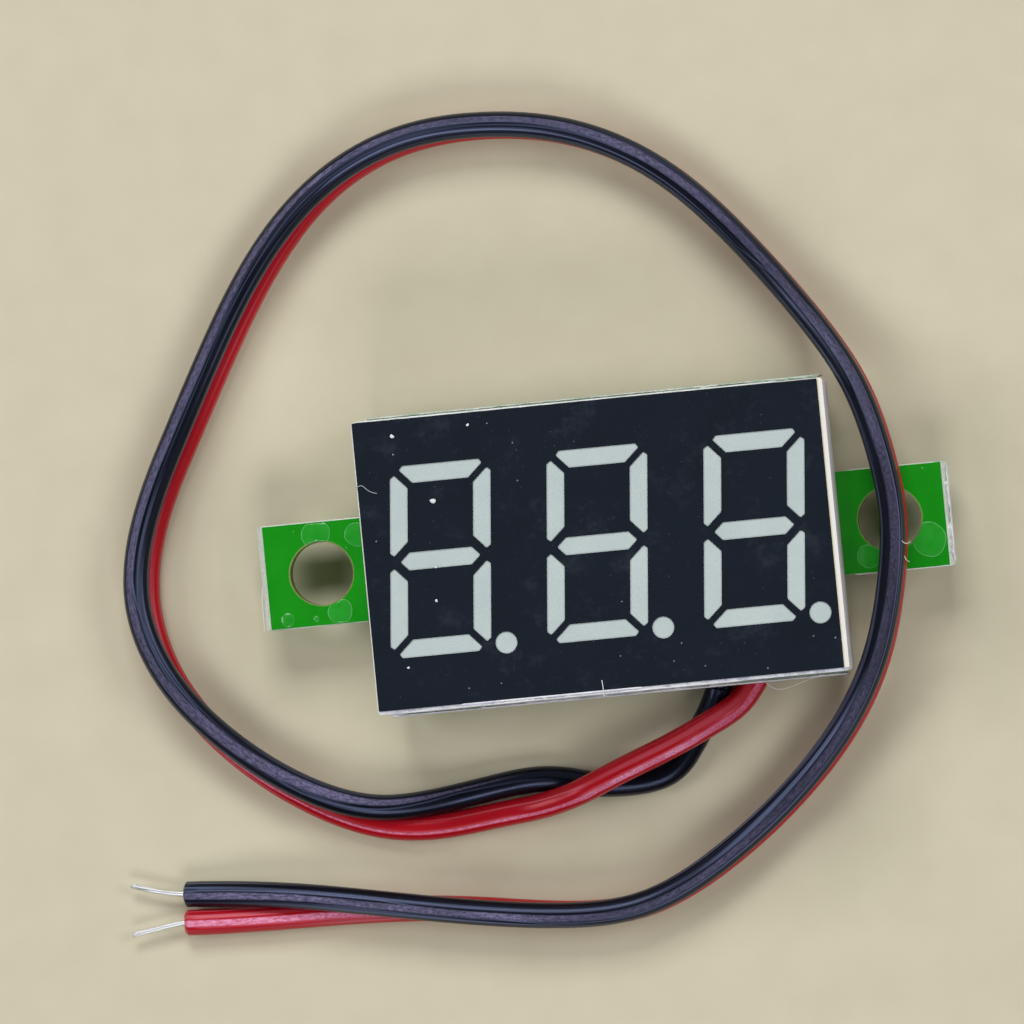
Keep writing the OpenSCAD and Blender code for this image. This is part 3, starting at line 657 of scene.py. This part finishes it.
def board_laminate(name):
    """Glass-fibre board: glossy green solder mask on both faces, a drilled olive rim in the holes,
    and pale torn laminate where the board was scored and snapped. The glass cloth is drawn as
    0.09 mm grains, laid flat."""
    made, tree, shader = new_material(name, {"IOR": 1.52, "Specular IOR Level": 0.4})
    place = add(tree, "TexCoord", out="Object")
    x, y, z = (add(tree, "SeparateXYZ", place, out=axis) for axis in "XYZ")
    upper = add(tree, "MapRange", z, (FRONT_Z - 0.05) * MM, (FRONT_Z - 0.02) * MM)
    lower = add(tree, "MapRange", z, (BACK_Z + 0.02) * MM, (BACK_Z + 0.05) * MM, 1, 0)
    masked = add(tree, "Math", upper, lower, **PLUS)
    from_middle = add(tree, "Math", add(tree, "Math", x, **ABSOLUTE), HOLE_X * MM, **MINUS)
    off = add(tree, "VectorMath", add(tree, "CombineXYZ", from_middle, y), operation="LENGTH")
    waver = add(tree, "Math", add(tree, "TexNoise", place, blotch(0.3), 2), 0.06 * MM, **TIMES)
    rim = add(tree, "MapRange", add(tree, "Math", off, waver, **MINUS), (HOLE_R + 0.005) * MM,
              (HOLE_R + 0.045) * MM)
    drilled = add(tree, "MapRange", off, (HOLE_R + 0.12) * MM, (HOLE_R + 0.2) * MM, 1, 0)
    covered = add(tree, "Math", masked, rim, **TIMES)
    woven = add(tree, "Mapping", place, None, None, (1, 1, 4))
    weave = add(tree, "TexNoise", woven, blotch(0.09), 4, 0.7)
    green = add(tree, "Mix", add(tree, "TexNoise", place, blotch(1.1), 4, 0.6),
                "#0c8410", "#1fa01a")
    raw = add(tree, "Mix", add(tree, "MapRange", weave, 0.3, 0.65), "#bccdb4", "#eef3ea")
    raw = add(tree, "Mix", drilled, raw, "#7f8c48")
    bare = add(tree, "Math", 1, covered, **MINUS)
    dress(tree, shader, add(tree, "Mix", covered, raw, green),
          add(tree, "MapRange", covered, 0, 1, 0.75, 0.24),
          add(tree, "Math", weave, bare, **TIMES), 0.02)
    return made


def plain_body(name, low, high, rough, grain_mm=0.08):
    """Moulded, fired or printed solid of one tone: two close colours and a fine grain."""
    made, tree, shader = new_material(name, {"Roughness": rough, "IOR": 1.52})
    place = add(tree, "TexCoord", out="Object")
    tone = add(tree, "TexNoise", place, blotch(0.5), 3)
    dress(tree, shader, add(tree, "Mix", tone, low, high), None,
          add(tree, "TexNoise", place, blotch(grain_mm), 3), 0.005)
    return made


def plated_metal(name, low, high, rough, grain_mm=0.1):
    """Plated or tinned metal: two close tones, uneven polish."""
    made, tree, shader = new_material(name, {"Metallic": 1.0})
    place = add(tree, "TexCoord", out="Object")
    tone = add(tree, "TexNoise", place, blotch(grain_mm), 3)
    dress(tree, shader, add(tree, "Mix", tone, low, high),
          add(tree, "MapRange", tone, 0.3, 0.7, rough - 0.08, rough + 0.08),
          add(tree, "TexNoise", place, blotch(grain_mm / 2), 3), 0.004)
    return made


# Epoxy moulding compound, dull black, and a copper frame dipped in tin, soft grey with a sheen
chip_epoxy = plain_body("moulded_epoxy", "#17181b", "#202227", 0.6)
tinned_lead = plated_metal("tinned_lead_frame", "#b4b5b6", "#cfd0d2", 0.32)
FINISHES = {
    "circuit_board": board_laminate("solder_masked_laminate"),
    "display_shell": moulded_white("white_polycarbonate"),
    "black_face": screen_ink("black_screen_ink"),
    "segment_resin": milky_resin("milky_epoxy"),
    # bare glass-epoxy board, sawn: dull straw yellow
    "led_substrate": plain_body("bare_laminate", "#c9c08f", "#d8cf9f", 0.55),
    # semiconductor chips, sawn: deep red and glassy
    "led_dice": plain_body("lamp_chip", "#a02018", "#c03020", 0.3),
    "display_pins": tinned_lead,
    # tin solder that flowed in a bath: bright and smooth
    "pin_solder": plated_metal("reflowed_solder", "#bfc1c4", "#dfe0e3", 0.22, 0.3),
    "microcontroller": chip_epoxy, "regulator": chip_epoxy, "diode": chip_epoxy,
    "microcontroller_leads": tinned_lead, "regulator_leads": tinned_lead,
    "diode_leads": tinned_lead, "resistor_ends": tinned_lead, "capacitor_ends": tinned_lead,
    "trimmer_terminals": tinned_lead,
    # fired glass glaze: black and glossy
    "resistor_bodies": plain_body("resistor_glaze", "#101114", "#181a1e", 0.25),
    # fired barium ceramic: tan and matt
    "capacitor_bodies": plain_body("fired_ceramic", "#8f6c42", "#a5814f", 0.55),
    # pressed and fired alumina: warm white and matt
    "trimmer_base": plain_body("white_ceramic", "#d8d4c4", "#e6e2d4", 0.5),
    # stamped steel, plated and passivated: pale yellowish metal
    "trimmer_rotor": plated_metal("plated_rotor", "#c9bb92", "#d2c59d", 0.36, 0.6),
    "black_root": tinned, "red_root": tinned,
    # solder from an iron: bright, a little lumpy
    "wire_solder": plated_metal("hand_solder", "#bfc1c4", "#dfe0e3", 0.2, 0.4),
}
for node, finish in FINISHES.items():
    CAD[node].data.materials.clear()
    CAD[node].data.materials.append(finish)


# ------------------------ torn edges, flux, dust and fibres

# Torn ridges: step between their rows, points round their section, and depth inside the edge;
# tufts per millimetre, their least and most half width, greatest height and columns that share one
RIDGE_STEP, RIDGE_COLUMNS, RIDGE_DEEP = 0.06, 18, 0.06
TUFTS_PER_MM, TUFT_WIDE, TUFT_HIGH, TUFT_ROUND = 1.6, (0.05, 0.16), 2.2, 2.2
# Shares of a drop's outline at which it has rings of points, from its edge to its top
DROP_RINGS = [1.0, 0.97, 0.92, 0.84, 0.7, 0.5, 0.25, 0.06]


def rough_field(rows, columns, counts, seed):
    """Grid of values about -1 to 1: for each count, that many rows of seeded random numbers are
    spread over all rows with straight lines between them; the finer ones weigh less."""
    random = np.random.default_rng(seed)
    whole = np.zeros((rows, columns))
    for step, count in enumerate(counts):
        coarse = random.uniform(-1, 1, (count, columns))
        at = np.linspace(0, count - 1, rows)
        low = np.minimum(at.astype(int), count - 2)
        share = (at - low)[:, None]
        whole += ((1 - share) * coarse[low] + share * coarse[low + 1]) * 0.7 ** step
    return whole / 1.3


def torn_edge(start, end, low, high, reach, seed, material, slot, name):
    """Ridge of torn material along a straight edge, whose outside lies on the right of the way
    from start to end. Its section is half an ellipse between the heights low and high: it
    stands out by reach * (0.4 + 0.75 field + tufts), reach given as (place 0..1, mm) pairs; a tuft
    is a narrow bell, high at one column and fading round it."""
    start, end = np.array(start, float), np.array(end, float)
    whole = np.linalg.norm(end - start)
    rows, columns = int(whole / RIDGE_STEP), RIDGE_COLUMNS
    share = np.linspace(0, 1, rows)
    ahead = (end - start) / whole
    out = np.array([ahead[1], -ahead[0]])
    angle = np.linspace(0, 2 * np.pi, columns, endpoint=False) - np.pi
    counts = (int(whole / 2.2) + 3, int(whole / 0.5) + 3, int(whole / 0.15))
    field = rough_field(rows, columns, counts, seed)
    field = (field + np.roll(field, 1, axis=1) + np.roll(field, -1, axis=1)) / 2.2
    random = np.random.default_rng(seed + 100)
    many = int(whole * TUFTS_PER_MM)
    tuft_at, tuft_wide = random.uniform(0, whole, many), random.uniform(*TUFT_WIDE, many)
    tuft_high = TUFT_HIGH * random.uniform(0, 1, many) ** 2
    tuft_column = random.integers(0, columns, many)
    bells = np.exp(-((share[:, None] * whole - tuft_at) / tuft_wide) ** 2) * tuft_high
    turned = np.arange(columns)[:, None] - tuft_column + columns / 2
    apart = np.abs(turned % columns - columns / 2)
    tufts = bells @ np.exp(-(apart.T / TUFT_ROUND) ** 2)
    stand = (np.interp(share, *np.array(reach, float).T)[:, None]
             * np.clip(0.4 + 0.75 * field + tufts, 0.04, 3))
    # angle 0 is the top, a quarter turn is the inside, and minus a quarter turn the outside
    side = -np.sin(angle)[None, :]
    away = np.where(side > 0, side * stand, side * RIDGE_DEEP)
    middle, half = (low + high) / 2, (high - low) / 2
    lift = half * np.cos(angle)[None, :] * (0.86 + 0.14 * np.roll(field, 5, axis=1))
    taper = np.clip(np.minimum(share, 1 - share) * rows / 3, 0.15, 1)[:, None]
    line = start[None, :] + share[:, None] * (end - start)[None, :]
    points = np.empty((rows, columns, 3))
    points[..., :2] = line[:, None, :] + out * (away * taper)[..., None]
    points[..., 2] = middle + lift * taper
    return surface(name, points, material, slot)


def dome(middle, radius, height, waver, seed, base, ring=28, keep_out=None, power=2.5):
    """Flat drop: at the share q of its wavy outline it stands height * (1 - q ** power) high. A
    point closer than HOLE_R to keep_out, the middle of a hole, moves out to the hole's rim."""
    random = np.random.default_rng(seed)
    angle = np.linspace(0, 2 * np.pi, ring, endpoint=False)
    outline = np.ones(ring)
    for turns in (2, 3, 5):
        outline += waver / turns * np.cos(turns * angle + random.uniform(0, 6.3))
    q = np.array(DROP_RINGS)[:, None]
    x = middle[0] + radius * q * outline * np.cos(angle)
    y = middle[1] - radius * q * outline * np.sin(angle)
    if keep_out is not None:
        off = np.hypot(x - keep_out[0], y - keep_out[1])
        push = np.maximum(1, (HOLE_R + 0.03) / np.maximum(off, 0.01))
        x = keep_out[0] + (x - keep_out[0]) * push
        y = keep_out[1] + (y - keep_out[1]) * push
    z = base + height * (1 - q ** power) + 0 * x
    low = np.stack([x[0], y[0], np.full(ring, base - 0.02)], axis=-1)
    return np.concatenate([low[None], np.stack([x, y, z], axis=-1)])


def torn_laminate(name, low, high):
    """Torn glass fibre and resin of a snapped board: matt, pale, layered along the glass."""
    made, tree, shader = new_material(name, {"Roughness": 0.75, "IOR": 1.5})
    place = add(tree, "TexCoord", out="Object")
    layered = add(tree, "Mapping", place, None, None, (0.3, 0.3, 1.6))
    pale = add(tree, "MapRange", add(tree, "TexNoise", layered, blotch(0.16), 5, 0.7), 0.25, 0.62)
    dress(tree, shader, add(tree, "Mix", pale, low, high), None,
          add(tree, "TexNoise", place, blotch(0.05), 3), 0.012)
    return made


white_fibre = torn_laminate("torn_glass_fibre", "#ccd4cf", "#f4f6f6")
green_fibre = torn_laminate("torn_green_laminate", "#7fae80", "#e9efe8")
lilac_burr = torn_laminate("torn_white_burr", "#c9cad8", "#f6f5fa")
board_x, board_y = BOARD_HIGH[0], BOARD_HIGH[1]
low_z, high_z = BACK_Z + 0.12, FRONT_Z + 0.04
ear_low, ear_high = FRONT_Z - 0.5, FRONT_Z + 0.01
# Torn edges: name, start, end, lowest and highest point, reach, seed, material and slot
EDGES = [
    ("far_board_tear", (-11.2, board_y - 0.02), (11.4, board_y - 0.02), low_z, high_z,
     [(0, 0.08), (0.5, 0.12), (1, 0.15)], 3, green_fibre, "board_laminate"),
    ("near_board_tear", (11.4, -board_y + 0.02), (-11.3, -board_y + 0.02), low_z, high_z,
     [(0, 0.04), (0.3, 0.12), (0.5, 0.3), (0.75, 0.1), (0.96, 0.1), (1, 0.35)], 4, lilac_burr,
     "board_laminate"),
    ("right_ear_tear", (board_x - 0.02, EAR_HALF - 0.05), (board_x - 0.02, -EAR_HALF + 0.05),
     low_z, high_z, [(0, 0.14), (0.4, 0.3), (0.6, 0.4), (1, 0.22)], 5, lilac_burr,
     "board_laminate"),
    ("right_ear_far_edge", (12.0, EAR_HALF), (board_x - 0.1, EAR_HALF), ear_low, ear_high,
     [(0, 0.03), (1, 0.04)], 8, green_fibre, "board_laminate"),
    ("right_ear_near_edge", (board_x - 0.1, -EAR_HALF), (12.0, -EAR_HALF), ear_low, ear_high,
     [(0, 0.05), (1, 0.06)], 9, white_fibre, "board_laminate"),
    ("left_ear_far_edge", (-board_x + 0.1, EAR_HALF), (-11.6, EAR_HALF), ear_low, ear_high,
     [(0, 0.04), (1, 0.04)], 10, white_fibre, "board_laminate"),
    ("left_ear_near_edge", (-11.6, -EAR_HALF), (-board_x + 0.1, -EAR_HALF), ear_low, ear_high,
     [(0, 0.03), (1, 0.04)], 11, green_fibre, "board_laminate"),
    ("left_ear_tear", (-board_x + 0.02, -EAR_HALF + 0.05), (-board_x + 0.02, EAR_HALF - 0.05),
     low_z, high_z - 0.5, [(0, 0.12), (0.5, 0.06), (1, 0.05)], 12, white_fibre,
     "board_laminate"),
    ("far_wall_burr", (SHELL_LOW[0] + 0.1, SHELL_HIGH[1] - 0.02), (9.5, SHELL_HIGH[1] - 0.02),
     FACE_Z - 0.3, FACE_Z + 0.01, [(0, 0.07), (0.4, 0.06), (1, 0.03)], 6, white_fibre,
     "reflector_white"),
    ("near_wall_burr", (6.5, SHELL_LOW[1] + 0.02), (SHELL_LOW[0] + 0.1, SHELL_LOW[1] + 0.02),
     FACE_Z - 0.5, FACE_Z + 0.02,
     [(0, 0.04), (0.2, 0.05), (0.36, 0.14), (0.42, 0.07), (0.47, 0.2), (0.52, 0.09), (0.58, 0.19),
      (0.64, 0.06), (1, 0.03)], 7, lilac_burr, "reflector_white"),
    ("near_wall_flash", (SHELL_LOW[0] + 4.0, SHELL_LOW[1] + 0.12), (1.6, SHELL_LOW[1] + 0.12),
     FACE_Z - 0.1, FACE_Z + 0.04, [(0, 0.02), (0.4, 0.05), (0.7, 0.07), (1, 0.02)], 13,
     lilac_burr, "reflector_white"),
]
for name, start, end, low, high, reach, seed, material, slot in EDGES:
    torn_edge(start, end, low, high, reach, seed, material, slot, name)


def flux_residue(name):
    """Dried flux on the solder mask: a clear thin film, here a lighter green with a pale dry
    rim; the attribute rim is 1 at the edge."""
    made, tree, shader = new_material(name, {"Roughness": 0.18, "IOR": 1.5})
    place = add(tree, "TexCoord", out="Object")
    rim = add(tree, "Math", add(tree, "Attribute", out="Fac", attribute_name="rim"), 0.7, **TIMES)
    tone = add(tree, "Mix", add(tree, "TexNoise", place, blotch(0.25), 4), "#179418", "#35a83a")
    dress(tree, shader, add(tree, "Mix", rim, tone, "#66b86a"))
    return made


def marked_domes(name, domes, material):
    """One piece from several domes, with the attribute rim: 1 on their outer rings, 0 inside."""
    parts = []
    for index, points in enumerate(domes):
        part = surface(f"{name}_{index}", points, material)
        rim = np.repeat(np.interp(np.arange(len(points)), [0, 2, 3], [1, 1, 0]), points.shape[1])
        part.data.attributes.new("rim", "FLOAT", "POINT").data.foreach_set(
            "value", np.concatenate([rim, [1.0, 0.0]]))
        parts.append(part)
    piece = joined(name, parts)
    return piece


# Middle and radius of each drop of flux on the ears, in millimetres
FLUX = [(-14.11, 1.94, 0.72), (-12.1, 1.74, 0.6), (-15.87, -2.12, 0.33), (-14.47, -2.2, 0.16),
        (-13.26, -1.95, 0.62), (-15.17, 2.16, 0.07), (-12.68, 1.12, 0.07), (15.82, -1.18, 0.86),
        (12.83, -1.74, 0.6), (15.8, 2.3, 0.09)]
FLUX_T, FLUX_INSET = 0.05, 0.04


def flux_drop(index, x, y, radius):
    """Drop that keeps clear of the ear's hole and inside the ear's far and near edges."""
    points = dome((x, y), radius, FLUX_T, 0.07, 20 + index, FRONT_Z,
                  keep_out=(math.copysign(HOLE_X, x), 0))
    points[..., 1] = np.clip(points[..., 1], -EAR_HALF + FLUX_INSET, EAR_HALF - FLUX_INSET)
    return points


marked_domes("flux_drops", [flux_drop(index, *drop) for index, drop in enumerate(FLUX)],
             flux_residue("flux_residue"))


# ------------------------ copper and print on the back

# Width and height of a trace, and radius, height and dimple of a covered via
TRACE_W, TRACE_T = 0.24, 0.03
VIA_R, VIA_T, VIA_DIMPLE = 0.34, 0.05, 0.04
# Middle of the microcontroller, and rows of its leads and of the display's pins on each side
CHIP_X, CHIP_ROW, PIN_ROW = -3.2, 3.05, 5.08
PIN_PITCH, LEAD_PITCH = 2.54, 0.65
RESISTOR_X, RESISTOR_PITCH = -9.1, 1.25
PRINT_W, PRINT_T = 0.14, 0.02


def flat_line(points, width, height, name, material):
    """Flat raised line under the board along a polyline: its section is a half ellipse, width
    wide, that hangs height below the back; every corner is mitred by the bisector of its sides."""
    line = np.array(points, float)
    step = unit(np.diff(line, axis=0))
    normal = np.stack([-step[:, 1], step[:, 0]], axis=1)
    corner = unit(np.concatenate([normal[:1], normal[:-1] + normal[1:], normal[-1:]]))
    stretch = 1 / np.maximum((corner * np.concatenate([normal[:1], normal])).sum(axis=1), 0.5)
    angle = np.linspace(0, 2 * np.pi, 10, endpoint=False)
    across = width / 2 * np.cos(angle)
    down = np.where(np.sin(angle) > 0, -height * np.sin(angle), 0.02)
    grid = np.empty((len(line), len(angle), 3))
    grid[..., :2] = line[:, None, :] + corner[:, None, :] * (stretch[:, None] * across)[..., None]
    grid[..., 2] = BACK_Z + down
    return surface(name, grid[:, ::-1], material)


def via(x, y, name, material):
    """Round pad of a plated hole that the mask covers: a low dome with a dimple in its middle."""
    points = dome((x, y), VIA_R, VIA_T, 0.0, 1, 0.0, ring=18, power=4)
    points[-2:, :, 2] -= VIA_DIMPLE
    points[..., 2] = BACK_Z - points[..., 2]
    return surface(name, points[:, ::-1], material)


# Copper under the solder mask, glossy and a lighter green, and matt white screen print
masked_copper = plain_body("masked_copper", "#2ba12c", "#3db03c", 0.24)
white_print = plain_body("white_screen_print", "#dfe2de", "#eceeea", 0.6)
copper = []
# From the pins of the display to the leads of the microcontroller: one pin is missing
for side, pins in ((-1, 5), (1, 6)):
    for index in range(pins):
        pin = (index - 2.5) * PIN_PITCH
        lead = CHIP_X + (index - 2.5) * LEAD_PITCH
        level = side * (CHIP_ROW + 0.5 + 0.16 * abs(index - 2))
        copper.append(([(pin, side * PIN_ROW), (pin, side * (PIN_ROW - 0.75)), (lead, level),
                        (lead, side * CHIP_ROW)], TRACE_W))
# From the resistors towards the microcontroller, each to its own via
vias = []
for index in range(7):
    y = (index - 3) * RESISTOR_PITCH
    end = RESISTOR_X + 1.45 + 0.12 * abs(index - 3)
    copper.append(([(RESISTOR_X + 0.7, y), (end, y), (end + 0.3, y + 0.3)], TRACE_W))
    vias.append((end + 0.45, y + 0.45))
copper += [([(1.2, -2.6), (2.4, -2.6), (3.2, -3.4), (5.4, -3.4), (6.2, -2.6), (7.6, -2.6)], 0.4),
           ([(1.2, 2.6), (2.2, 3.6), (5.8, 3.6), (7.0, 2.9), (8.0, 2.9)], 0.4),
           ([(4.1, -0.6), (4.1, -2.1), (3.4, -2.8)], TRACE_W),
           ([(9.9, -4.2), (8.2, -4.6), (7.0, -4.6)], 0.5)]
vias += [(7.3, 0.3), (6.7, -1.1), (3.0, 3.6), (-7.3, 6.2), (10.2, 6.1)]
traces = [flat_line(path, width, TRACE_T, f"trace_{index}", masked_copper)
          for index, (path, width) in enumerate(copper)]
traces += [via(x, y, f"via_{index}", masked_copper) for index, (x, y) in enumerate(vias)]
joined("masked_traces", traces)


def frame_line(x, y, half_x, half_y):
    """Closed rectangle round a component, from its middle and half sizes."""
    return [(x - half_x, y - half_y), (x + half_x, y - half_y), (x + half_x, y + half_y),
            (x - half_x, y + half_y), (x - half_x, y - half_y)]


outlines = [frame_line(RESISTOR_X, 0, 1.25, 4.5), frame_line(1.2, 0, 0.75, 3.7),
            frame_line(9.9, -2.6, 1.15, 1.9), [(-6.9, -1.9), (-6.9, -2.5), (-6.6, -2.5)]]
outlines = [flat_line(path, PRINT_W, PRINT_T, f"print_{index}", white_print)
            for index, path in enumerate(outlines)]
joined("component_outlines", outlines)


def lint(name, code):
    """Lint and dust: pale, matt."""
    return new_material(name, {"Roughness": 0.85, "Base Color": linear(code)})[0]


# Grains on the face: middle, radius, and radius of the fainter ones after them
GRAINS = [(-9.4, 6.2, 0.1), (-7.72, 2.9, 0.13), (-8.01, -1.91, 0.07), (-9.67, -5.01, 0.06),
          (-5.7, 6.4, 0.07), (-7.89, -0.29, 0.06)]
FAINT_GRAINS = [(-9.43, 5.32, 0.05), (-4.76, 6.39, 0.04), (-3.62, 5.33, 0.04),
                (-3.55, 3.49, 0.04), (-10.64, 1.22, 0.04), (-6.83, -6.28, 0.04),
                (-5.26, -6.18, 0.035), (9.97, -5.35, 0.04), (11.01, -5.53, 0.045),
                (7.63, -6.68, 0.04), (0.6, -5.42, 0.035), (3.6, -5.08, 0.04),
                (3.15, -5.91, 0.035), (4.64, -6.29, 0.035), (0.92, -2.81, 0.035)]
for name, grains, code in (("dust_grains", GRAINS, "#e8ebee"),
                           ("faint_dust", FAINT_GRAINS, "#7d8792")):
    marked_domes(name, [dome((x, y), r, r * 0.5, 0.25, 50 + index, FACE_Z, ring=12)
                        for index, (x, y, r) in enumerate(grains)],
                 lint(name, code))

# Hairs and glass fibres: points, radius and colour
HAIRS = {
    "hair_on_face": ([(-11.39, 3.88, FACE_Z + 0.03), (-11.08, 3.96, FACE_Z + 0.05),
                      (-10.9, 3.8, FACE_Z + 0.03), (-10.7, 3.64, FACE_Z + 0.04),
                      (-10.39, 3.52, FACE_Z + 0.03)], 0.018, "#aab4bd"),
    "fibre_low_right": ([(7.2, -7.4, 3.1), (7.63, -7.75, 3.0), (8.61, -7.67, 3.0),
                         (9.52, -7.4, 3.0), (9.96, -7.31, 3.1)], 0.016, "#d9dbd6"),
    "fibre_middle": ([(-0.3, -7.2, 9.9), (-0.36, -7.28, 10.2), (-0.38, -7.05, 10.5),
                      (-0.4, -6.5, 10.62)], 0.022, "#e6e8ea"),
    "fibre_left_ear": ([(-16.96, -0.4, 2.9), (-17.06, -0.9, 2.9), (-17.08, -1.51, 2.85),
                        (-17.1, -2.62, 2.8)], 0.022, "#e3e6e4"),
    "fleck_by_wire": ([(14.55, -1.16, 5.74), (14.72, -1.3, 5.82), (14.95, -1.24, 5.7)], 0.022,
                      "#d7d3c8"),
    "fleck_by_wire_low": ([(14.6, -1.9, 5.72), (14.68, -2.1, 5.76), (14.8, -2.2, 5.6)], 0.02,
                          "#d7d3c8"),
}
for name, (points, radius, code) in HAIRS.items():
    fine, _ = smooth_route(points, 6)
    surface(name, tube_points(fine, radius, 8), lint(name, code), "reflector_white")
